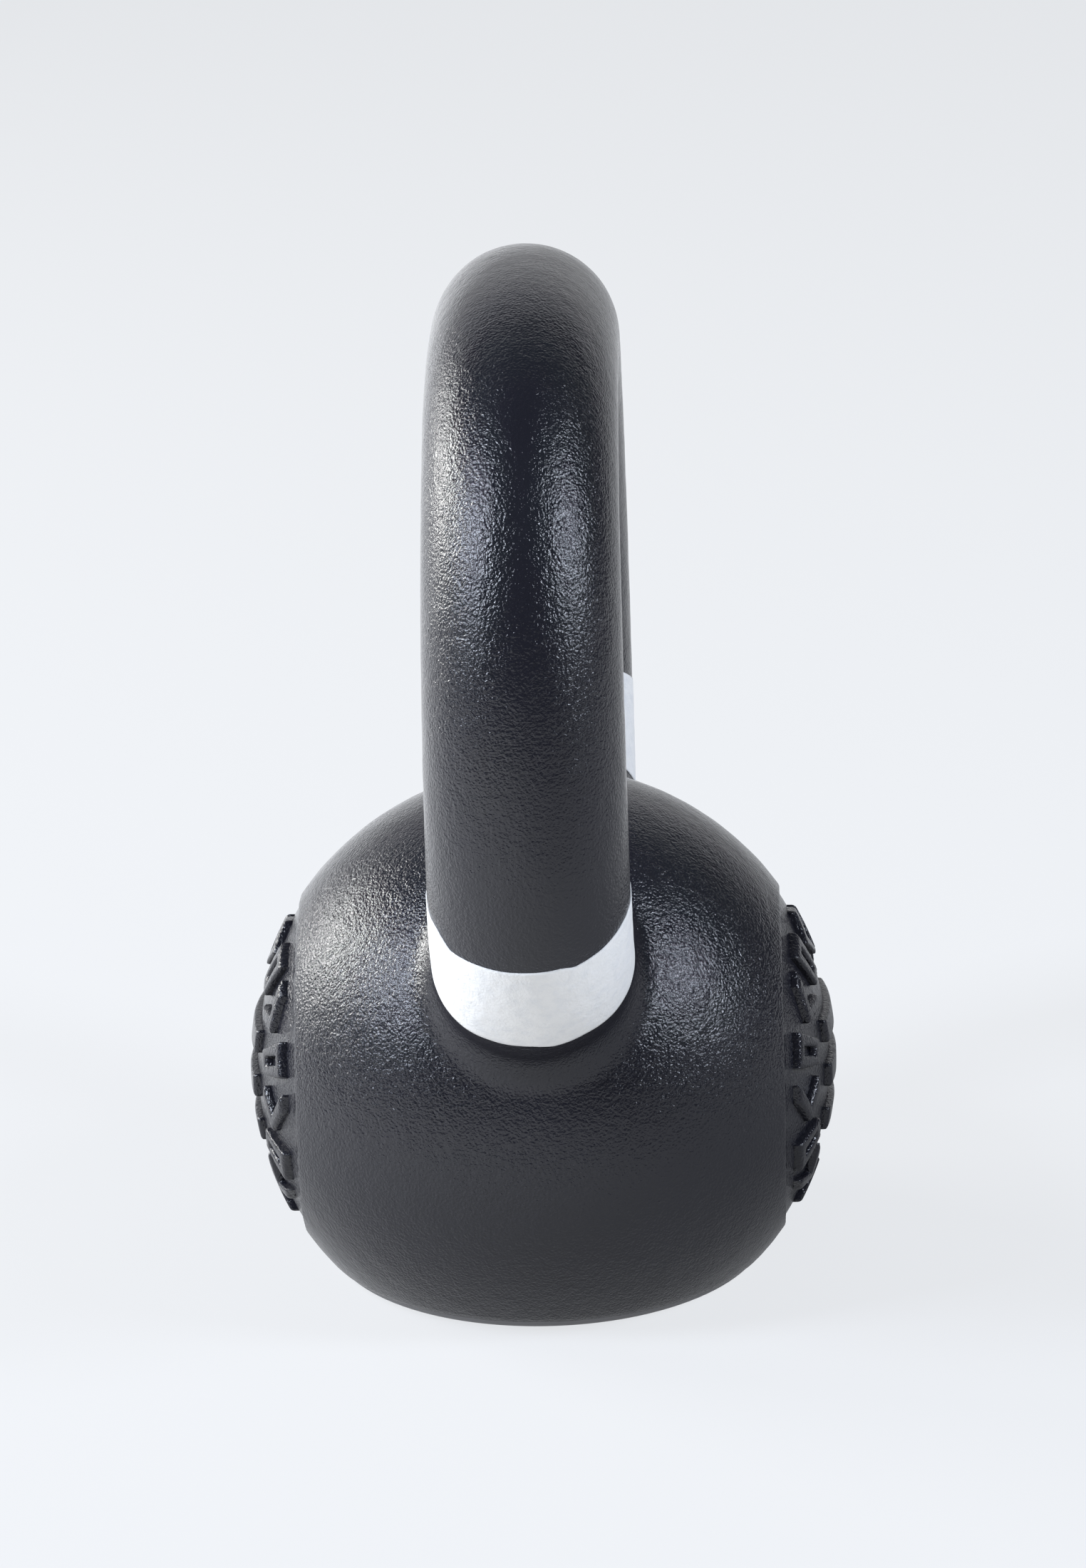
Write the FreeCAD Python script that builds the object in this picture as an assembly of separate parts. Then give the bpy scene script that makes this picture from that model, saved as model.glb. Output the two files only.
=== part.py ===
import FreeCAD, Part
import math
import os

from FreeCAD import Vector

# Cast iron kettlebell, 6 kg. Millimetres, +Z up, base on Z = 0, handle loop in the XZ plane.

# Ball
BALL_RADIUS = 53.0
BALL_CENTRE_HEIGHT = 35.8
BASE_EDGE_RADIUS = 3.0

# Handle loop, measured to the centre line of the bar. The growth start and the end are shares of its half length.
GRIP_RADIUS = 16.5
FOOT_RADIUS = 17.5
GRIP_AXIS_HEIGHT = 167.0
WIDEST_HEIGHT = 103.0
HALF_SPAN = 62.0
LOOP_FULLNESS = 2.35
LOWER_BEND_RADIUS = 37.4
LOWER_BEND_DEGREES = 62.0
ROOT_DEPTH = 22.0
ROOT_BLEND_RADIUS = 8.0
LOOP_STEPS = 18
BEND_STEPS = 9
ROOT_STEPS = 3
BAR_RINGS = 32
BAR_GROWTH_START = 0.3
BAR_END = 0.999

# Shallow round fields on the front and back faces, and the raised marks in them
FIELD_RADIUS = 29.8
FIELD_DOME_RADIUS = 54.3
FIELD_CENTRE_DEPTH = 1.3
FIELD_LIP_RADIUS = 1.2
MARK_HEIGHT = 1.3
RING_COUNT = 16
RING_INNER_RADIUS = 19.0
RING_OUTER_RADIUS = 27.0
CHEVRON_STROKE = 3.4
CHEVRON_SWEEP_DEGREES = 6.0
BLOCK_HALF_DEGREES = 7.0
SLOT_WIDTH = 1.5
SLOT_LENGTH = 4.4
BAR_COUNT = 3
BAR_LENGTH = 22.0
BAR_WIDTH = 4.2
BAR_PITCH = 8.4

# Finish layers
COAT_THICKNESS = 0.25
BAND_THICKNESS = 0.2

# Stations along the loop's centre line, measured from the top of the handle
BAND_TOP_STATION = 116.6
BAND_BOTTOM_STATION = 138.5
BAND_TOP_TILT_DEGREES = 5.5
BAND_BOTTOM_TILT_DEGREES = -15.5
SPLIT_STATION = 126.5

# Size of the tools that trim the shapes, larger than the part
REACH = 200.0

# How close an edge lies to the base plane or the ball to count as being on it
ON_SURFACE = 0.01


def loop_points():
    """Centre line of the right half of the loop as (x, z), from the top to inside the ball."""
    points = []
    power = 2.0 / LOOP_FULLNESS
    rise = GRIP_AXIS_HEIGHT - WIDEST_HEIGHT
    for step in range(LOOP_STEPS):
        angle = 0.5 * math.pi * step / LOOP_STEPS
        x = HALF_SPAN * math.sin(angle) ** power
        z = WIDEST_HEIGHT + rise * math.cos(angle) ** power
        points.append((x, z))
    bend_centre = HALF_SPAN - LOWER_BEND_RADIUS
    bend = math.radians(LOWER_BEND_DEGREES)
    for step in range(BEND_STEPS + 1):
        angle = bend * step / BEND_STEPS
        x = bend_centre + LOWER_BEND_RADIUS * math.cos(angle)
        z = WIDEST_HEIGHT - LOWER_BEND_RADIUS * math.sin(angle)
        points.append((x, z))
    last_x, last_z = points[-1]
    for step in range(1, ROOT_STEPS + 1):
        depth = ROOT_DEPTH * step / ROOT_STEPS
        points.append((last_x - depth * math.sin(bend), last_z - depth * math.cos(bend)))
    return points


def loop_curve():
    """The whole centre line as one smooth curve, from the left root over the top to the right root."""
    right = [Vector(x, 0, z) for x, z in loop_points()]
    left = [Vector(-point.x, 0, point.z) for point in reversed(right[1:])]
    curve = Part.BSplineCurve()
    curve.interpolate(left + right)
    return curve


LOOP = loop_curve()
TOP_PARAMETER = LOOP.parameter(Vector(0, 0, GRIP_AXIS_HEIGHT))
HALF_LENGTH = LOOP.length(TOP_PARAMETER, LOOP.LastParameter)


def loop_station(station):
    """Point and unit direction of the centre line at a signed distance from the top of the handle."""
    parameter = LOOP.parameterAtDistance(station, TOP_PARAMETER)
    direction = LOOP.tangent(parameter)[0]
    return LOOP.value(parameter), direction


def bar_radius(station):
    """Radius of the bar: the grip size over the top, growing to the foot size at the root."""
    share = abs(station) / HALF_LENGTH
    growth = max(0.0, (share - BAR_GROWTH_START) / (1.0 - BAR_GROWTH_START))
    return GRIP_RADIUS + (FOOT_RADIUS - GRIP_RADIUS) * growth


def bar_ring(station, inset):
    """Cross-section of the bar at one station, turned about Y so that every ring starts on the same side."""
    point, direction = loop_station(station)
    ring = Part.makeCircle(bar_radius(station) - inset, Vector(0, 0, 0), Vector(1, 0, 0))
    turn = math.degrees(math.atan2(-direction.z, direction.x))
    ring.rotate(Vector(0, 0, 0), Vector(0, 1, 0), turn)
    ring.translate(point)
    return Part.Wire([ring])


def bar(inset):
    """The whole handle bar as one solid, made smaller all round by the inset."""
    rings = []
    for step in range(-BAR_RINGS, BAR_RINGS + 1):
        rings.append(bar_ring(BAR_END * HALF_LENGTH * step / BAR_RINGS, inset))
    return Part.makeLoft(rings, True, False)


def floor_centre():
    """Distance from the ball's centre to the centre of the domed field floor, along Y."""
    return BALL_RADIUS - FIELD_CENTRE_DEPTH - FIELD_DOME_RADIUS


def field_profile(inset):
    """Corner points (radius, Y) of one field: lip on the ball, middle of the lip, foot of the lip, floor centre."""
    lip_radius = FIELD_LIP_RADIUS - inset
    lip_x = FIELD_RADIUS + FIELD_LIP_RADIUS
    lip_y = math.sqrt((BALL_RADIUS - FIELD_LIP_RADIUS) ** 2 - lip_x ** 2)
    floor_radius = FIELD_DOME_RADIUS - inset
    gap_y = lip_y - floor_centre()
    gap = math.hypot(lip_x, gap_y)
    along = (floor_radius ** 2 - lip_radius ** 2 + gap ** 2) / (2.0 * gap)
    across = math.sqrt(floor_radius ** 2 - along ** 2)
    foot_x = (along * lip_x - across * gap_y) / gap
    foot_y = floor_centre() + (along * gap_y + across * lip_x) / gap
    start_angle = math.atan2(lip_y, lip_x)
    end_angle = math.atan2(foot_y - lip_y, foot_x - lip_x)
    middle_angle = 0.5 * (start_angle + end_angle)
    start = (lip_x + lip_radius * math.cos(start_angle), lip_y + lip_radius * math.sin(start_angle))
    middle = (lip_x + lip_radius * math.cos(middle_angle), lip_y + lip_radius * math.sin(middle_angle))
    return start, middle, (foot_x, foot_y), (0.0, floor_centre() + floor_radius)


def ball(inset):
    """The ball with its two fields and its flat base, made smaller all round except at the base."""
    start, middle, foot, top = field_profile(inset)
    floor_radius = FIELD_DOME_RADIUS - inset
    floor_angle = 0.5 * math.asin(foot[0] / floor_radius)
    floor_middle = (
        floor_radius * math.sin(floor_angle),
        floor_centre() + floor_radius * math.cos(floor_angle),
    )

    def place(point, side):
        return Vector(point[0], side * point[1], BALL_CENTRE_HEIGHT)

    edges = [Part.Arc(place(start, -1), place((BALL_RADIUS - inset, 0.0), 1), place(start, 1)).toShape()]
    for side in (-1, 1):
        edges.append(Part.Arc(place(start, side), place(middle, side), place(foot, side)).toShape())
        edges.append(Part.Arc(place(foot, side), place(floor_middle, side), place(top, side)).toShape())
    edges.append(Part.makeLine(place(top, -1), place(top, 1)))
    outline = Part.Face(Part.Wire(Part.sortEdges(edges)[0]))
    body = outline.revolve(Vector(0, 0, BALL_CENTRE_HEIGHT), Vector(0, 1, 0), 360)
    below = Part.makeBox(REACH, REACH, REACH, Vector(-0.5 * REACH, -0.5 * REACH, -REACH))
    body = body.cut(below)
    base_edges = [edge for edge in body.Edges if abs(edge.BoundBox.ZMax) < ON_SURFACE]
    return body.makeFillet(BASE_EDGE_RADIUS - inset, base_edges)


def dome(radius, side):
    """Sphere concentric with the floor of one field; side is -1 for the front and 1 for the back."""
    return Part.makeSphere(radius, Vector(0, side * floor_centre(), BALL_CENTRE_HEIGHT))


def root_edges(body, inset):
    """Edges where the bar enters the ball."""
    found = []
    centre = Vector(0, 0, BALL_CENTRE_HEIGHT)
    for edge in body.Edges:
        start, end = edge.ParameterRange
        middle = edge.valueAt(0.5 * (start + end))
        on_ball = abs((middle - centre).Length - (BALL_RADIUS - inset)) < ON_SURFACE
        if on_ball and edge.BoundBox.ZMin > BALL_CENTRE_HEIGHT and edge.BoundBox.YLength > GRIP_RADIUS:
            found.append(edge)
    return found


def ball_with_bar(body, inset):
    """Ball and bar joined, with a concave blend round each root."""
    joined = body.fuse(bar(inset))
    return joined.makeFillet(ROOT_BLEND_RADIUS + inset, root_edges(joined, inset))


def casting(inset):
    """The complete kettlebell surface, made smaller all round by the inset."""
    return ball_with_bar(ball(inset), inset)


def cut_line(station, tilt_degrees):
    """Point on the centre line and outward direction of a cut across the right leg, in the XZ plane."""
    point, direction = loop_station(station)
    outward = Vector(-direction.z, 0, direction.x)
    if outward.x < 0:
        outward = outward * -1
    tilt = math.radians(tilt_degrees)
    return point, outward * math.cos(tilt) + direction * math.sin(tilt)


def prism(corners):
    """Tool of constant outline in the XZ plane, reaching past the part in Y."""
    points = [Vector(corner.x, -0.5 * REACH, corner.z) for corner in corners]
    face = Part.Face(Part.makePolygon(points + points[:1]))
    return face.extrude(Vector(0, REACH, 0))


def mirrored(shape):
    return shape.mirror(Vector(0, 0, 0), Vector(1, 0, 0))


def handle_region():
    """Everything above the two cuts that part the handle from the bell."""
    point, outward = cut_line(SPLIT_STATION, 0.0)
    middle = point - outward * (point.x / outward.x)
    right = point + outward * REACH
    top = 2.0 * REACH
    corners = [
        middle,
        right,
        Vector(right.x, 0, top),
        Vector(-right.x, 0, top),
        Vector(-right.x, 0, right.z),
    ]
    return prism(corners)


def band_region():
    """Slab across the right leg between the upper and lower edges of the painted band."""
    upper, upper_outward = cut_line(BAND_TOP_STATION, BAND_TOP_TILT_DEGREES)
    lower, lower_outward = cut_line(BAND_BOTTOM_STATION, BAND_BOTTOM_TILT_DEGREES)
    reach = 2.0 * FOOT_RADIUS
    corners = [
        upper - upper_outward * reach,
        upper + upper_outward * reach,
        lower + lower_outward * reach,
        lower - lower_outward * reach,
    ]
    return prism(corners)


def band():
    """Painted band round the right leg, on top of the powder coat."""
    centre = Vector(0, 0, BALL_CENTRE_HEIGHT)
    over = ball_with_bar(Part.makeSphere(BALL_RADIUS + BAND_THICKNESS, centre), -BAND_THICKNESS)
    under = ball_with_bar(Part.makeSphere(BALL_RADIUS, centre), 0.0)
    return over.common(band_region()).cut(under)


def polar(radius, turn):
    """Point in the XZ plane of the field, from its distance to the middle and its turn away from straight up."""
    return Vector(radius * math.sin(turn), 0, BALL_CENTRE_HEIGHT + radius * math.cos(turn))


def chevron(angle):
    """Outline of one raised chevron of the ring."""
    sweep = math.radians(CHEVRON_SWEEP_DEGREES)
    half_stroke = 0.5 * CHEVRON_STROKE
    middle_radius = 0.5 * (RING_INNER_RADIUS + RING_OUTER_RADIUS)
    spine = [
        (RING_INNER_RADIUS, angle - sweep),
        (middle_radius, angle + sweep),
        (RING_OUTER_RADIUS, angle - sweep),
    ]
    ahead = [polar(radius, turn + half_stroke / radius) for radius, turn in spine]
    behind = [polar(radius, turn - half_stroke / radius) for radius, turn in reversed(spine)]
    return ahead + behind


def block(angle):
    """Outline of one raised block of the ring, wider towards the rim."""
    half = math.radians(BLOCK_HALF_DEGREES)
    return [
        polar(RING_INNER_RADIUS, angle - half),
        polar(RING_OUTER_RADIUS, angle - half),
        polar(RING_OUTER_RADIUS, angle + half),
        polar(RING_INNER_RADIUS, angle + half),
    ]


def slot(angle):
    """Outline of the slot through the middle of one block."""
    middle_radius = 0.5 * (RING_INNER_RADIUS + RING_OUTER_RADIUS)
    along = Vector(math.sin(angle), 0, math.cos(angle)) * (0.5 * SLOT_LENGTH)
    across = Vector(math.cos(angle), 0, -math.sin(angle)) * (0.5 * SLOT_WIDTH)
    middle = polar(middle_radius, angle)
    return [
        middle - along - across,
        middle + along - across,
        middle + along + across,
        middle - along + across,
    ]


def centre_bar(index):
    """Outline of one of the plain raised bars in the middle of the field."""
    height = BALL_CENTRE_HEIGHT + (index - 0.5 * (BAR_COUNT - 1)) * BAR_PITCH
    half_length = 0.5 * BAR_LENGTH
    half_width = 0.5 * BAR_WIDTH
    return [
        Vector(-half_length, 0, height - half_width),
        Vector(half_length, 0, height - half_width),
        Vector(half_length, 0, height + half_width),
        Vector(-half_length, 0, height + half_width),
    ]


def post(outline, side):
    """Tool of one mark's outline, reaching out of the ball on one side."""
    face = Part.Face(Part.makePolygon(outline + outline[:1]))
    return face.extrude(Vector(0, side * REACH, 0))


def marks(side):
    """Raised marks of one field: a ring of chevrons and slotted blocks in turn, round three plain bars."""
    posts = [post(centre_bar(index), side) for index in range(BAR_COUNT)]
    for index in range(RING_COUNT):
        angle = 2.0 * math.pi * index / RING_COUNT
        if index % 2:
            posts.append(post(block(angle), side).cut(post(slot(angle), side)))
        else:
            posts.append(post(chevron(angle), side))
    layer = dome(FIELD_DOME_RADIUS + MARK_HEIGHT, side).cut(dome(FIELD_DOME_RADIUS, side))
    solids = []
    for tool in posts:
        solids.extend(tool.common(layer).Solids)
    return Part.makeCompound(solids)


def build():
    os.makedirs("parts", exist_ok=True)
    outside = casting(0.0)
    iron = casting(COAT_THICKNESS)
    region = handle_region()
    right_band = band()
    nodes = {
        "iron_bell": iron.cut(region),
        "iron_handle": iron.common(region),
        "powder_coat": outside.cut(iron),
        "band_right": right_band,
        "band_left": mirrored(right_band),
        "marks_front": marks(-1),
        "marks_back": marks(1),
    }
    for name, shape in nodes.items():
        shape.exportStep(f"parts/{name}.step")


build()
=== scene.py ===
import math

import bmesh
import bpy
import numpy as np
from mathutils import Matrix, Vector

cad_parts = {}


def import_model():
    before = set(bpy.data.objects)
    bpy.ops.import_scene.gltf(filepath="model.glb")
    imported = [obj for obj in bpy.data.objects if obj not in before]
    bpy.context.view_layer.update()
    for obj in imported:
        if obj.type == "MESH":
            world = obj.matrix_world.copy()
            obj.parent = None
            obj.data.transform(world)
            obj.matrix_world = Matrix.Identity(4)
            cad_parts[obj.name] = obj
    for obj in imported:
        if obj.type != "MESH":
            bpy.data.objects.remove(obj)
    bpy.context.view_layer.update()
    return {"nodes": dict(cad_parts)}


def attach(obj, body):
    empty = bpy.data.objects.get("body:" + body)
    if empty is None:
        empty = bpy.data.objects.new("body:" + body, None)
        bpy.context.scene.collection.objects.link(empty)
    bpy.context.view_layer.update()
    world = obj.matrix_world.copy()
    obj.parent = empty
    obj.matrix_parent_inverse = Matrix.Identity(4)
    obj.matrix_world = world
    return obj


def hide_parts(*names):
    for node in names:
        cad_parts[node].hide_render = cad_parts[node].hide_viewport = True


# Cast iron kettlebell on a pale floor. Shapes are worked out in millimetres and built in metres.
MM = 0.001

# Ball, with the same driving sizes as the CAD part
BALL_RADIUS = 53.0
BALL_CENTRE_HEIGHT = 35.8
BASE_EDGE_RADIUS = 3.0

# Handle loop
GRIP_RADIUS = 16.5
FOOT_RADIUS = 17.5
GRIP_AXIS_HEIGHT = 167.0
WIDEST_HEIGHT = 103.0
HALF_SPAN = 62.0
LOOP_FULLNESS = 2.35
LOWER_BEND_RADIUS = 37.4
LOWER_BEND_DEGREES = 62.0
ROOT_DEPTH = 22.0
ROOT_BLEND_RADIUS = 8.0

# Share of the way from the top of the loop to its root at which the bar begins to swell
SWELL_START = 0.3

# Fields and marks
FIELD_RADIUS = 29.8
FIELD_DOME_RADIUS = 54.3
FIELD_CENTRE_DEPTH = 1.3
FIELD_LIP_RADIUS = 1.2
MARK_HEIGHT = 1.3
MARK_EDGE_RADIUS = 0.5
MARK_EMBED = 0.4
RING_COUNT = 16
RING_INNER_RADIUS = 19.0
RING_OUTER_RADIUS = 27.0
CHEVRON_STROKE = 3.4
CHEVRON_SWEEP_DEGREES = 6.0
BLOCK_HALF_DEGREES = 7.0
SLOT_WIDTH = 1.5
SLOT_LENGTH = 4.4
BAR_COUNT = 3
BAR_LENGTH = 22.0
BAR_WIDTH = 4.2
BAR_PITCH = 8.4

# Painted bands
BAND_THICKNESS = 0.14
BAND_TOP_STATION = 116.6
BAND_BOTTOM_STATION = 138.5
BAND_TOP_TILT_DEGREES = 5.5
BAND_BOTTOM_TILT_DEGREES = -15.5
BAND_TOP_CORNERS = (
    (0.0, -0.3), (18.0, -0.2), (27.0, 0.3), (68.0, -0.2), (120.0, 0.3),
    (185.0, -0.3), (250.0, 0.2), (298.0, -0.5), (311.0, 0.6), (332.0, 0.0),
)
BAND_BOTTOM_CORNERS = (
    (0.0, -0.2), (12.0, 0.4), (30.0, -0.2), (80.0, 0.2), (150.0, -0.3),
    (225.0, 0.3), (290.0, -0.2), (318.0, 0.4), (335.0, 0.0),
)

# The left band has the right one's corners, turned by this much in degrees so that the two differ
LEFT_BAND_TURN = 150.0

# Points round a band and across it, and the reach along the loop that gives the leg's direction
BAND_AROUND = 360
BAND_ACROSS = 36
STATION_REACH = 0.5

# Waviness of the casting
WAVE_SEED = 7
WAVE_COUNT = 28
WAVE_SHORTEST = 3.0
WAVE_LONGEST = 9.0
WAVE_HEIGHT = 0.004

# Mesh steps
COAT_STEP = 0.96
MARK_STEP = 0.4
MAP_STEP = 0.5
MAP_LOW = -4.0
MAP_HIGH_X = 92.0
MAP_HIGH_Z = 200.0
LOOP_SAMPLES = 240
BEND_SAMPLES = 120
ROOT_SAMPLES = 30

# Boxes that hold the surfaces to be meshed, as their low and high corners
COAT_BOX = ((-82.0, -56.0, -3.0), (82.0, 56.0, 187.0))
MARKS_BOX = ((-29.0, 42.0, 6.0), (29.0, 55.0, 66.0))

# The coat stops this far above the floor
BASE_GAP = 0.02

# Points nearer together than this become one
SAME_POINT = 0.02

# A distance that everything is nearer than, and the smallest number that is divided by
FAR_AWAY = 1e9
NEAR_ZERO = 1e-6

# A sample of the loop map stays this far short of the number of points, so that it has a next one
MAP_MARGIN = 1.001

# Largest cosine between the normals at a join
COSINE_LIMIT = 0.9

# Reach over which a slope is taken, the least squared slope, and how often a point is moved
SLOPE_REACH = 0.05
SLOPE_LEAST = 0.25
SETTLE_ROUNDS = 3

# Noise on a surface: scale, detail, and for bumps also strength and height in metres
COAT_PATCHES = (700.0, 1.0, 1.0, 0.00012)
COAT_GRAIN = (2100.0, 2.0, 1.0, 0.0002)
PAINT_COVER = (500.0, 4.0)
PAINT_STROKES = (420.0, 3.0, 0.6, 0.0004)
PAINT_GRAIN = (2100.0, 1.0, 0.5, 0.00018)
IRON_GRAIN = (600.0, 4.0, 0.3, 0.0003)

# Colours, roughness and gloss. The paint's two tones come with their places on the cover noise.
COAT_COLOR = (0.0110, 0.0112, 0.0165, 1.0)
COAT_ROUGHNESS = 0.15
COAT_SPECULAR = 0.5
PAINT_TONES = (
    (0.25, (0.80, 0.81, 0.82, 1.0)),
    (0.55, (0.88, 0.88, 0.87, 1.0)),
)
PAINT_ROUGHNESS = 0.55
IRON_COLOR = (0.24, 0.24, 0.25, 1.0)
IRON_ROUGHNESS = 0.5
FLOOR_COLOR = (0.12, 0.12, 0.12, 1.0)
FLOOR_ROUGHNESS = 0.9
FLOOR_GLOW_COLOR = (0.95, 0.97, 1.0, 1.0)
BACKDROP_COLOR = (0.97, 0.98, 1.0, 1.0)

# Studio: name, turn and rise in degrees, width and height in metres, power in watts, colour
SOFTBOXES = (
    ("key_softbox", -115.0, 19.0, 0.55, 0.40, 14.0, (1.0, 1.0, 0.98)),
    ("left_softbox", -68.0, 38.0, 0.30, 0.64, 19.0, (0.80, 0.87, 1.0)),
    ("right_softbox", 72.0, 35.0, 0.26, 0.60, 13.0, (0.80, 0.87, 1.0)),
)
LIGHT_AIM = (0.0, 0.0, 0.08)
LIGHT_DISTANCE = 1.3

# Dark studio and its pale backdrop: brightness, direction in degrees, and the cosines to that
# direction at which the backdrop ends and is full
STUDIO_DARK = 0.07
BACKDROP_BRIGHT = 0.7
BACKDROP_TURN = -172.0
BACKDROP_EDGE = 0.55
BACKDROP_FULL = 0.95

# Floor: half its width in metres, and the brightness of its glow
FLOOR_REACH = 8.0
FLOOR_GLOW = 1.0

# The floor's glow is brighter on the key light's side: place across it in metres, and share of the glow
FLOOR_BRIGHT_SIDE = (-0.25, 1.45)
FLOOR_DIM_SIDE = (0.12, 0.60)

# Brightness that the camera sees on the floor and past its edge
PALE_TO_CAMERA = 0.76

# Shade on the floor behind the kettlebell, set by place: its middle in metres, then two pairs of
# distance from there and share of the glow
SHADE_MIDDLE = (-0.06, 0.06, 0.0)
SHADE_INNER = (0.05, 0.25)
SHADE_OUTER = (0.22, 1.0)

# Camera: the point that it looks at and its distance in metres, angles in degrees, lens in millimetres
CAMERA_AIM = (0.0, 0.0013, 0.0882)
CAMERA_DISTANCE = 0.9433
CAMERA_TURN = 1.57
CAMERA_RISE = 18.66
CAMERA_ROLL = 1.63
CAMERA_LENS = 121.6
CAMERA_CLIP_START = 0.05
CAMERA_CLIP_END = 50.0


def length2(a, b):
    return np.sqrt(a * a + b * b)


def round_join(a, b, radius):
    """Distance to the union of two shapes, with a concave blend of the given radius between them."""
    into_blend = length2(np.maximum(radius - a, 0), np.maximum(radius - b, 0))
    return np.maximum(radius, np.minimum(a, b)) - into_blend


def round_overlap(a, b, radius):
    """Distance to the overlap of two shapes, with a rounded edge where their surfaces cross."""
    return -round_join(-a, -b, radius)


# ---------------------------------------------------------------- handle loop

def loop_line():
    """Centre line of the right half of the loop, from the top to inside the ball."""
    power = 2.0 / LOOP_FULLNESS
    angle = np.linspace(0.0, 0.5 * math.pi, LOOP_SAMPLES)
    x = HALF_SPAN * np.sin(angle) ** power
    z = WIDEST_HEIGHT + (GRIP_AXIS_HEIGHT - WIDEST_HEIGHT) * np.cos(angle) ** power
    bend = math.radians(LOWER_BEND_DEGREES)
    turn = np.linspace(0.0, bend, BEND_SAMPLES)[1:]
    bend_x = HALF_SPAN - LOWER_BEND_RADIUS + LOWER_BEND_RADIUS * np.cos(turn)
    bend_z = WIDEST_HEIGHT - LOWER_BEND_RADIUS * np.sin(turn)
    depth = np.linspace(0.0, ROOT_DEPTH, ROOT_SAMPLES)[1:]
    root_x = bend_x[-1] - depth * math.sin(bend)
    root_z = bend_z[-1] - depth * math.cos(bend)
    x = np.concatenate([x, bend_x, root_x])
    z = np.concatenate([z, bend_z, root_z])
    station = np.concatenate([[0.0], np.cumsum(np.hypot(np.diff(x), np.diff(z)))])
    return x, z, station


LOOP_X, LOOP_Z, LOOP_STATION = loop_line()


def bar_radius(station):
    share = station / LOOP_STATION[-1]
    swell = np.clip((share - SWELL_START) / (1.0 - SWELL_START), 0.0, 1.0)
    return GRIP_RADIUS + (FOOT_RADIUS - GRIP_RADIUS) * swell


class LoopMap:
    """Nearest point of the centre line, its distance and the bar's radius there, on a grid over XZ.

    The distance has a table of its own because the nearest point jumps in the middle of the window.
    """

    def __init__(self):
        x = np.arange(MAP_LOW, MAP_HIGH_X, MAP_STEP)
        z = np.arange(MAP_LOW, MAP_HIGH_Z, MAP_STEP)
        grid_x, grid_z = np.meshgrid(x, z, indexing="ij")
        nearest = np.full(grid_x.shape, FAR_AWAY)
        foot_x, foot_z, station = [np.zeros(grid_x.shape) for _ in range(3)]
        for i in range(len(LOOP_X) - 1):
            ax, az = LOOP_X[i], LOOP_Z[i]
            dx, dz = LOOP_X[i + 1] - ax, LOOP_Z[i + 1] - az
            size = dx * dx + dz * dz
            t = np.clip(((grid_x - ax) * dx + (grid_z - az) * dz) / size, 0.0, 1.0)
            away = length2(grid_x - ax - t * dx, grid_z - az - t * dz)
            nearer = away < nearest
            nearest = np.where(nearer, away, nearest)
            foot_x = np.where(nearer, ax + t * dx, foot_x)
            foot_z = np.where(nearer, az + t * dz, foot_z)
            station = np.where(nearer, LOOP_STATION[i] + t * math.sqrt(size), station)
        self.tables = (foot_x, foot_z, nearest, bar_radius(station))

    def sample(self, x, z):
        """Nearest point as x and z, its distance, and the bar's radius there. x is never negative."""
        rows, columns = self.tables[0].shape
        u = np.clip((x - MAP_LOW) / MAP_STEP, 0.0, rows - MAP_MARGIN)
        v = np.clip((z - MAP_LOW) / MAP_STEP, 0.0, columns - MAP_MARGIN)
        i, j = u.astype(int), v.astype(int)
        fu, fv = u - i, v - j
        found = []
        for table in self.tables:
            low = table[i, j] * (1 - fu) + table[i + 1, j] * fu
            high = table[i, j + 1] * (1 - fu) + table[i + 1, j + 1] * fu
            found.append(low * (1 - fv) + high * fv)
        return found


LOOP_MAP = LoopMap()


# ---------------------------------------------------------------- distance to the casting

def ball_distance(x, y, z):
    up = z - BALL_CENTRE_HEIGHT
    sphere = np.sqrt(x * x + y * y + up * up) - BALL_RADIUS
    body = round_overlap(sphere, -z, BASE_EDGE_RADIUS)
    wall = length2(x, up) - FIELD_RADIUS
    outside_fields = np.minimum(-wall, floor_distance(x, y, z))
    return round_overlap(body, outside_fields, FIELD_LIP_RADIUS)


def floor_distance(x, y, z):
    """Distance to the domed floors of the two fields, which are mirror images in Y."""
    centre = BALL_RADIUS - FIELD_CENTRE_DEPTH - FIELD_DOME_RADIUS
    up = z - BALL_CENTRE_HEIGHT
    return np.sqrt(x * x + up * up + (np.abs(y) - centre) ** 2) - FIELD_DOME_RADIUS


def rolled_join(a, b, cosine, radius):
    """Distance to the union of two shapes, filleted by a ball rolled along both.

    The cosine is the one between their normals.
    """
    over_a, over_b = radius - a, radius - b
    between = (over_a > cosine * over_b) & (over_b > cosine * over_a)
    spread = over_a ** 2 + over_b ** 2 - 2.0 * cosine * over_a * over_b
    fillet = radius - np.sqrt(np.maximum(spread, 0.0) / (1.0 - cosine ** 2))
    return np.where(between, fillet, np.minimum(a, b))


def casting_distance(x, y, z):
    side_x = np.abs(x)
    foot_x, foot_z, away, radius = LOOP_MAP.sample(side_x, z)
    out_x, out_z = side_x - foot_x, z - foot_z
    up = z - BALL_CENTRE_HEIGHT
    from_bar = length2(away, y)
    from_ball = np.sqrt(side_x ** 2 + y ** 2 + up ** 2)
    cosine = (out_x * side_x + y ** 2 + out_z * up) / np.maximum(from_bar * from_ball, NEAR_ZERO)
    cosine = np.clip(cosine, -COSINE_LIMIT, COSINE_LIMIT)
    return rolled_join(ball_distance(x, y, z), from_bar - radius, cosine, ROOT_BLEND_RADIUS)


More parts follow.
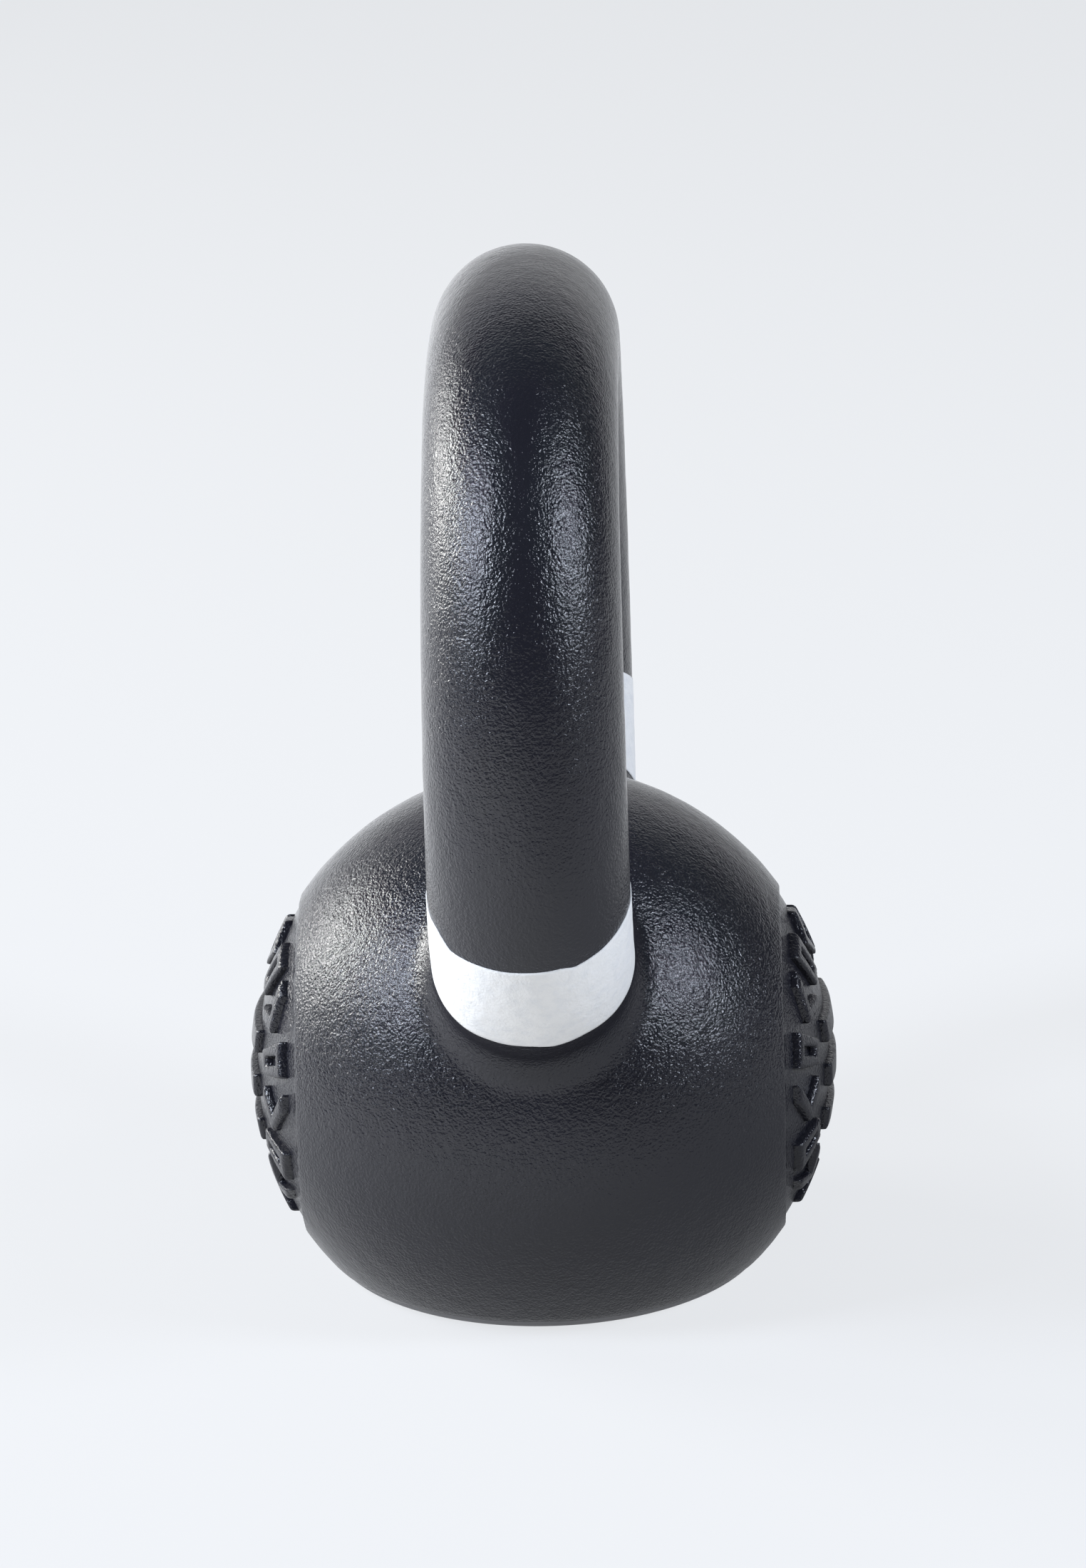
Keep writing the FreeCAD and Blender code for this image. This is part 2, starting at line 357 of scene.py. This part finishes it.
def cast_waves():
    """Directions, lengths and phases of the faint waves that sand casting leaves on the surface."""
    chance = np.random.default_rng(WAVE_SEED)
    directions = chance.normal(size=(WAVE_COUNT, 3))
    directions /= np.sqrt((directions ** 2).sum(axis=1))[:, None]
    turns = 2.0 * math.pi / chance.uniform(WAVE_SHORTEST, WAVE_LONGEST, WAVE_COUNT)
    return directions * turns[:, None], chance.uniform(0.0, 2.0 * math.pi, WAVE_COUNT)


WAVES = cast_waves()


def coat_distance(x, y, z):
    """Distance to the casting with its waviness, which is a sum of plane waves."""
    height = 0.0
    for (turn_x, turn_y, turn_z), phase in zip(*WAVES):
        height = height + WAVE_HEIGHT * np.sin(turn_x * x + turn_y * y + turn_z * z + phase)
    return casting_distance(x, y, z) - height


# ---------------------------------------------------------------- distance to the raised marks

def outline_distance(x, z, corners):
    """Signed distance in the plane to a closed outline."""
    best = np.full(np.broadcast(x, z).shape, FAR_AWAY)
    inside = np.zeros(best.shape, bool)
    for (ax, az), (bx, bz) in zip(corners, corners[1:] + corners[:1]):
        dx, dz = bx - ax, bz - az
        t = np.clip(((x - ax) * dx + (z - az) * dz) / (dx * dx + dz * dz), 0.0, 1.0)
        best = np.minimum(best, length2(x - ax - t * dx, z - az - t * dz))
        if az != bz:
            crosses = ((az > z) != (bz > z)) & (x < ax + (z - az) * dx / dz)
            inside = inside ^ crosses
    return np.where(inside, -best, best)


def box_distance(across, along, half_width, half_length):
    """Signed distance in the plane to a rectangle about the origin."""
    over_across, over_along = np.abs(across) - half_width, np.abs(along) - half_length
    outside = length2(np.maximum(over_across, 0), np.maximum(over_along, 0))
    return outside + np.minimum(np.maximum(over_across, over_along), 0)


def chevron_corners():
    sweep = math.radians(CHEVRON_SWEEP_DEGREES)
    half_stroke = 0.5 * CHEVRON_STROKE
    middle_radius = 0.5 * (RING_INNER_RADIUS + RING_OUTER_RADIUS)
    spine = [(RING_INNER_RADIUS, -sweep), (middle_radius, sweep), (RING_OUTER_RADIUS, -sweep)]
    ahead = [(radius, turn + half_stroke / radius) for radius, turn in spine]
    behind = [(radius, turn - half_stroke / radius) for radius, turn in reversed(spine)]
    return [(radius * math.sin(turn), radius * math.cos(turn)) for radius, turn in ahead + behind]


def block_corners():
    half = math.radians(BLOCK_HALF_DEGREES)
    ends = [
        (RING_INNER_RADIUS, -half), (RING_OUTER_RADIUS, -half),
        (RING_OUTER_RADIUS, half), (RING_INNER_RADIUS, half),
    ]
    return [(radius * math.sin(turn), radius * math.cos(turn)) for radius, turn in ends]


def ring_distance(x, up):
    """Signed distance in the plane to the ring of chevrons and slotted blocks."""
    pair = 4.0 * math.pi / RING_COUNT
    radius, turn = length2(x, up), np.arctan2(x, up)
    at_chevron = turn - pair * np.round(turn / pair)
    at_block = turn - pair * (np.floor(turn / pair) + 0.5)
    chevron = outline_distance(radius * np.sin(at_chevron), radius * np.cos(at_chevron), chevron_corners())
    across, along = radius * np.sin(at_block), radius * np.cos(at_block)
    block = outline_distance(across, along, block_corners())
    middle_radius = 0.5 * (RING_INNER_RADIUS + RING_OUTER_RADIUS)
    slot = box_distance(across, along - middle_radius, 0.5 * SLOT_WIDTH, 0.5 * SLOT_LENGTH)
    return np.minimum(chevron, np.maximum(block, -slot))


def marks_distance(x, y, z):
    up = z - BALL_CENTRE_HEIGHT
    plan = ring_distance(x, up)
    for index in range(BAR_COUNT):
        middle = (index - 0.5 * (BAR_COUNT - 1)) * BAR_PITCH
        plan = np.minimum(plan, box_distance(x, up - middle, 0.5 * BAR_LENGTH, 0.5 * BAR_WIDTH))
    floor = floor_distance(x, y, z)
    raised = round_overlap(plan, floor - MARK_HEIGHT, MARK_EDGE_RADIUS)
    return np.maximum(raised, -floor - MARK_EMBED)


# ---------------------------------------------------------------- turning distances into meshes

def slope(distance, points):
    """Gradient of a distance at each point."""
    parts = []
    for axis in range(3):
        ahead, behind = points.copy(), points.copy()
        ahead[:, axis] += SLOPE_REACH
        behind[:, axis] -= SLOPE_REACH
        parts.append((distance(*ahead.T) - distance(*behind.T)) / (2.0 * SLOPE_REACH))
    return np.stack(parts, axis=1)


def settle(distance, points, level=0.0):
    """Moves points along the gradient on to the surface where the distance is level."""
    for _ in range(SETTLE_ROUNDS):
        gradient = slope(distance, points)
        size = np.maximum((gradient ** 2).sum(axis=1), SLOPE_LEAST)
        points = points - gradient * ((distance(*points.T) - level) / size)[:, None]
    return points


def surface(distance, low, high, step):
    """Closed mesh of the zero surface of a distance: one vertex in each grid cell that it crosses."""
    x, y, z = [np.arange(a, b + step, step) for a, b in zip(low, high)]
    values = distance(x[:, None, None], y[None, :, None], z[None, None, :])
    inside = values < 0
    corners = [(i, j, k) for i in (0, 1) for j in (0, 1) for k in (0, 1)]
    nx, ny, nz = (n - 1 for n in inside.shape)
    filled = sum(inside[i:i + nx, j:j + ny, k:k + nz].astype(np.int8) for i, j, k in corners)
    cells = np.argwhere((filled > 0) & (filled < 8))
    number = np.full((nx, ny, nz), -1)
    number[tuple(cells.T)] = np.arange(len(cells))
    total, count = np.zeros((len(cells), 3)), np.zeros(len(cells))
    for start in corners:
        for axis in range(3):
            if start[axis]:
                continue
            end = list(start)
            end[axis] = 1
            a = values[tuple((cells + start).T)]
            b = values[tuple((cells + end).T)]
            crossed = (a < 0) != (b < 0)
            share = np.where(crossed, a / np.where(crossed, a - b, 1.0), 0.0)
            place = np.tile(np.array(start, float), (len(cells), 1))
            place[:, axis] = share
            total += place * crossed[:, None]
            count += crossed
    points = np.array(low) + step * (cells + total / count[:, None])
    faces = []
    for axis in range(3):
        b, c = (axis + 1) % 3, (axis + 2) % 3
        near = np.take(inside, range(inside.shape[axis] - 1), axis)
        far = np.take(inside, range(1, inside.shape[axis]), axis)
        edges = np.argwhere(near != far)
        edges = edges[(edges[:, b] > 0) & (edges[:, c] > 0)]
        ring = []
        for back_b, back_c in ((1, 1), (0, 1), (0, 0), (1, 0)):
            cell = edges.copy()
            cell[:, b] -= back_b
            cell[:, c] -= back_c
            ring.append(number[tuple(cell.T)])
        ring = np.stack(ring, axis=1)
        leaving = near[tuple(edges.T)]
        faces.append(np.where(leaving[:, None], ring, ring[:, ::-1]))
    return settle(distance, points), np.concatenate(faces)


def add_mesh(name, points, faces):
    """Smooth-shaded mesh of the faces, without slivers. Points come in millimetres."""
    mesh = bpy.data.meshes.new(name)
    mesh.from_pydata((points * MM).tolist(), [], faces.tolist())
    clean = bmesh.new()
    clean.from_mesh(mesh)
    bmesh.ops.remove_doubles(clean, verts=clean.verts, dist=SAME_POINT * MM)
    bmesh.ops.dissolve_degenerate(clean, edges=clean.edges, dist=SAME_POINT * MM)
    clean.to_mesh(mesh)
    clean.free()
    mesh.shade_smooth()
    thing = bpy.data.objects.new(name, mesh)
    bpy.context.scene.collection.objects.link(thing)
    return thing


def make_coat():
    """The whole black surface. It stops just above the base, where the ground iron shows."""
    step = COAT_STEP
    points, faces = surface(casting_distance, *COAT_BOX, step)
    points = settle(coat_distance, points)
    points[:, 2] = np.maximum(points[:, 2], BASE_GAP)
    return add_mesh("coat_surface", points, faces)


def make_marks(name, side):
    points, faces = surface(marks_distance, *MARKS_BOX, MARK_STEP)
    if side < 0:
        points = points * np.array([1.0, -1.0, 1.0])
        faces = faces[:, ::-1]
    return add_mesh(name, points, faces)


# ---------------------------------------------------------------- painted bands

def masked_edge(corners, turn):
    """Offset of a hand-masked edge round the leg: straight runs between (degrees, millimetres) corners."""
    degrees = [corner[0] for corner in corners]
    offsets = [corner[1] for corner in corners]
    around = 360.0 * np.arange(BAND_AROUND) / BAND_AROUND
    return np.interp(around + turn, degrees, offsets, period=360.0)


def band_points(side, shares, tops, bottoms, lift):
    """Points on the leg between two edges, lifted off the coat; angle zero faces away from the window."""
    around = 2.0 * math.pi * np.arange(BAND_AROUND) / BAND_AROUND
    rows = []
    for share in shares:
        station = tops * (1.0 - share) + bottoms * share
        x = np.interp(station, LOOP_STATION, LOOP_X)
        z = np.interp(station, LOOP_STATION, LOOP_Z)
        along_x = np.interp(station + STATION_REACH, LOOP_STATION, LOOP_X) - x
        along_z = np.interp(station + STATION_REACH, LOOP_STATION, LOOP_Z) - z
        size = length2(along_x, along_z)
        out_x, out_z = -along_z / size, along_x / size
        radius = bar_radius(station)
        rows.append(np.stack([
            side * (x + out_x * radius * np.cos(around)),
            radius * np.sin(around),
            z + out_z * radius * np.cos(around),
        ], axis=1))
    points = np.concatenate(rows)
    return settle(coat_distance, points, level=lift)


def make_band(name, side, turn):
    """A sleeve of paint with rounded edges, sitting on the coat."""
    around = 2.0 * math.pi * np.arange(BAND_AROUND) / BAND_AROUND
    lean_top = FOOT_RADIUS * math.tan(math.radians(BAND_TOP_TILT_DEGREES)) * np.cos(around)
    lean_bottom = FOOT_RADIUS * math.tan(math.radians(BAND_BOTTOM_TILT_DEGREES)) * np.cos(around)
    tops = BAND_TOP_STATION + lean_top + masked_edge(BAND_TOP_CORNERS, turn)
    bottoms = BAND_BOTTOM_STATION + lean_bottom + masked_edge(BAND_BOTTOM_CORNERS, turn)
    shares = np.linspace(0.0, 1.0, BAND_ACROSS)
    outer = band_points(side, shares, tops, bottoms, BAND_THICKNESS)
    inner = band_points(side, shares, tops, bottoms, -BAND_THICKNESS)
    points = np.concatenate([outer, inner])
    faces = []
    index = np.arange(BAND_AROUND)
    following = (index + 1) % BAND_AROUND
    inner_start = len(outer)
    for row in range(BAND_ACROSS - 1):
        a, b = row * BAND_AROUND, (row + 1) * BAND_AROUND
        faces.append(np.stack([a + index, a + following, b + following, b + index], axis=1))
        a, b = a + inner_start, b + inner_start
        faces.append(np.stack([a + index, b + index, b + following, a + following], axis=1))
    last = (BAND_ACROSS - 1) * BAND_AROUND
    faces.append(np.stack([index, inner_start + index, inner_start + following, following], axis=1))
    faces.append(np.stack([
        last + index, last + following, inner_start + last + following, inner_start + last + index,
    ], axis=1))
    faces = np.concatenate(faces)
    if side > 0:
        faces = faces[:, ::-1]
    return add_mesh(name, points, faces)


# ---------------------------------------------------------------- materials

def new_material(name):
    material = bpy.data.materials.new(name)
    material.use_nodes = True
    nodes = material.node_tree.nodes
    return material, nodes, material.node_tree.links, nodes["Principled BSDF"]


def grain(nodes, links, place, scale, detail):
    noise = nodes.new("ShaderNodeTexNoise")
    noise.inputs["Scale"].default_value = scale
    noise.inputs["Detail"].default_value = detail
    links.new(place.outputs["Object"], noise.inputs["Vector"])
    return noise.outputs["Fac"]


def bump(nodes, links, place, layer, under=None):
    """Normal with one layer of noise on it, and another normal under that if one is given."""
    scale, detail, strength, distance = layer
    height = grain(nodes, links, place, scale, detail)
    node = nodes.new("ShaderNodeBump")
    node.inputs["Strength"].default_value = strength
    node.inputs["Distance"].default_value = distance
    links.new(height, node.inputs["Height"])
    if under is not None:
        links.new(under, node.inputs["Normal"])
    return node.outputs["Normal"]


def make_coat_material():
    """Semi-gloss black powder coat: a fine orange-peel grain with flatter patches."""
    material, nodes, links, shader = new_material("powder_coat")
    place = nodes.new("ShaderNodeTexCoord")
    patches = bump(nodes, links, place, COAT_PATCHES)
    fine = bump(nodes, links, place, COAT_GRAIN, patches)
    links.new(fine, shader.inputs["Normal"])
    shader.inputs["Base Color"].default_value = COAT_COLOR
    shader.inputs["Roughness"].default_value = COAT_ROUGHNESS
    shader.inputs["Specular IOR Level"].default_value = COAT_SPECULAR
    return material


def make_paint_material():
    """Matte white paint, brushed on round the leg and a little uneven in cover."""
    material, nodes, links, shader = new_material("band_paint")
    place = nodes.new("ShaderNodeTexCoord")
    cover = nodes.new("ShaderNodeValToRGB")
    for element, (position, color) in zip(cover.color_ramp.elements, PAINT_TONES):
        element.color = color
        element.position = position
    links.new(grain(nodes, links, place, *PAINT_COVER), cover.inputs["Fac"])
    links.new(cover.outputs["Color"], shader.inputs["Base Color"])
    strokes = bump(nodes, links, place, PAINT_STROKES)
    fine = bump(nodes, links, place, PAINT_GRAIN, strokes)
    links.new(fine, shader.inputs["Normal"])
    shader.inputs["Roughness"].default_value = PAINT_ROUGHNESS
    return material


def make_iron_material():
    material, nodes, links, shader = new_material("cast_iron")
    place = nodes.new("ShaderNodeTexCoord")
    links.new(bump(nodes, links, place, IRON_GRAIN), shader.inputs["Normal"])
    shader.inputs["Base Color"].default_value = IRON_COLOR
    shader.inputs["Metallic"].default_value = 1.0
    shader.inputs["Roughness"].default_value = IRON_ROUGHNESS
    return material


def paint(thing, material):
    thing.data.materials.clear()
    thing.data.materials.append(material)


# ---------------------------------------------------------------- studio

def math_node(nodes, links, kind, first, second):
    node = nodes.new("ShaderNodeMath")
    node.operation = kind
    for socket, value in zip(node.inputs, (first, second)):
        if isinstance(value, float):
            socket.default_value = value
        else:
            links.new(value, socket)
    return node.outputs["Value"]


def map_range(nodes, links, value, start, end):
    """Changes a value evenly between two (input, output) pairs and holds it level outside them."""
    node = nodes.new("ShaderNodeMapRange")
    node.inputs["From Min"].default_value, node.inputs["To Min"].default_value = start
    node.inputs["From Max"].default_value, node.inputs["To Max"].default_value = end
    links.new(value, node.inputs["Value"])
    return node


def make_floor():
    """A pale floor. The coat mirrors its glow, which is brighter on the key side and shaded behind."""
    mesh = bpy.data.meshes.new("floor")
    far = FLOOR_REACH
    mesh.from_pydata([(-far, -far, 0), (far, -far, 0), (far, far, 0), (-far, far, 0)], [], [(0, 1, 2, 3)])
    floor = bpy.data.objects.new("floor", mesh)
    bpy.context.scene.collection.objects.link(floor)
    material, nodes, links, shader = new_material("pale_floor")
    shader.inputs["Base Color"].default_value = FLOOR_COLOR
    shader.inputs["Roughness"].default_value = FLOOR_ROUGHNESS
    shader.inputs["Specular IOR Level"].default_value = 0.0
    shader.inputs["Emission Color"].default_value = FLOOR_GLOW_COLOR
    place = nodes.new("ShaderNodeTexCoord")
    split = nodes.new("ShaderNodeSeparateXYZ")
    links.new(place.outputs["Object"], split.inputs["Vector"])
    across = split.outputs["Y"]
    glow = map_range(nodes, links, across, FLOOR_BRIGHT_SIDE, FLOOR_DIM_SIDE).outputs["Result"]
    away = nodes.new("ShaderNodeVectorMath")
    away.operation = "DISTANCE"
    away.inputs[1].default_value = SHADE_MIDDLE
    links.new(place.outputs["Object"], away.inputs[0])
    shade = map_range(nodes, links, away.outputs["Value"], SHADE_INNER, SHADE_OUTER).outputs["Result"]
    lit = math_node(nodes, links, "MULTIPLY", math_node(nodes, links, "MULTIPLY", glow, shade), FLOOR_GLOW)
    ray = nodes.new("ShaderNodeLightPath").outputs["Is Camera Ray"]
    seen = math_node(nodes, links, "MULTIPLY", ray, PALE_TO_CAMERA)
    mirrored = math_node(nodes, links, "MULTIPLY", lit, math_node(nodes, links, "SUBTRACT", 1.0, ray))
    links.new(math_node(nodes, links, "ADD", mirrored, seen), shader.inputs["Emission Strength"])
    paint(floor, material)


def direction(turn, rise):
    """Unit vector away from the kettlebell. Turn is measured from +X towards +Y, both in degrees."""
    turn, rise = math.radians(turn), math.radians(rise)
    return Vector((math.cos(rise) * math.cos(turn), math.cos(rise) * math.sin(turn), math.sin(rise)))


def add_softbox(name, turn, rise, width, height, power, color):
    """A rectangular softbox that faces the kettlebell."""
    data = bpy.data.lights.new(name, "AREA")
    data.shape = "RECTANGLE"
    data.size, data.size_y = width, height
    data.energy = power
    data.color = color
    out = direction(turn, rise)
    light = bpy.data.objects.new(name, data)
    light.location = Vector(LIGHT_AIM) + out * LIGHT_DISTANCE
    light.rotation_mode = "QUATERNION"
    light.rotation_quaternion = (-out).to_track_quat("-Z", "Y")
    bpy.context.scene.collection.objects.link(light)


def make_world():
    """Dark studio with a pale backdrop. Past the floor's edge the camera sees the floor's own tone."""
    world = bpy.data.worlds.new("studio")
    world.use_nodes = True
    nodes, links = world.node_tree.nodes, world.node_tree.links
    place = nodes.new("ShaderNodeTexCoord")
    facing = nodes.new("ShaderNodeVectorMath")
    facing.operation = "DOT_PRODUCT"
    facing.inputs[1].default_value = direction(BACKDROP_TURN, 0.0)
    links.new(place.outputs["Generated"], facing.inputs[0])
    edge, full = (BACKDROP_EDGE, STUDIO_DARK), (BACKDROP_FULL, BACKDROP_BRIGHT)
    backdrop = map_range(nodes, links, facing.outputs["Value"], edge, full)
    backdrop.interpolation_type = "SMOOTHSTEP"
    ray = nodes.new("ShaderNodeLightPath")
    pale = math_node(nodes, links, "MULTIPLY", ray.outputs["Is Camera Ray"], PALE_TO_CAMERA)
    seen = math_node(nodes, links, "MAXIMUM", backdrop.outputs["Result"], pale)
    links.new(seen, nodes["Background"].inputs["Strength"])
    nodes["Background"].inputs["Color"].default_value = BACKDROP_COLOR
    bpy.context.scene.world = world


def make_camera():
    data = bpy.data.cameras.new("camera")
    data.lens = CAMERA_LENS
    data.clip_start, data.clip_end = CAMERA_CLIP_START, CAMERA_CLIP_END
    camera = bpy.data.objects.new("camera", data)
    back = direction(CAMERA_TURN, CAMERA_RISE)
    facing = back.to_track_quat("Z", "Y").to_matrix().to_4x4()
    roll = Matrix.Rotation(math.radians(-CAMERA_ROLL), 4, "Z")
    camera.matrix_world = Matrix.Translation(Vector(CAMERA_AIM) + back * CAMERA_DISTANCE) @ facing @ roll
    bpy.context.scene.collection.objects.link(camera)
    bpy.context.scene.camera = camera


# ---------------------------------------------------------------- the scene

def main():
    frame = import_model()
    coat_material = make_coat_material()
    paint_material = make_paint_material()
    iron_material = make_iron_material()
    for name in ("iron_bell", "iron_handle"):
        paint(frame["nodes"][name], iron_material)
    made = [
        (make_coat(), "powder_coat", "powder_coat", coat_material),
        (make_marks("marks_front_surface", -1), "marks_front", "powder_coat", coat_material),
        (make_marks("marks_back_surface", 1), "marks_back", "powder_coat", coat_material),
        (make_band("band_left_surface", -1, LEFT_BAND_TURN), "band_left", "band_paint", paint_material),
        (make_band("band_right_surface", 1, 0.0), "band_right", "band_paint", paint_material),
    ]
    for thing, node, slot, material in made:
        paint(thing, material)
        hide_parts(node)
        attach(thing, "root")
    make_floor()
    make_world()
    for softbox in SOFTBOXES:
        add_softbox(*softbox)
    bpy.context.scene.view_settings.view_transform = "Standard"
    make_camera()


main()
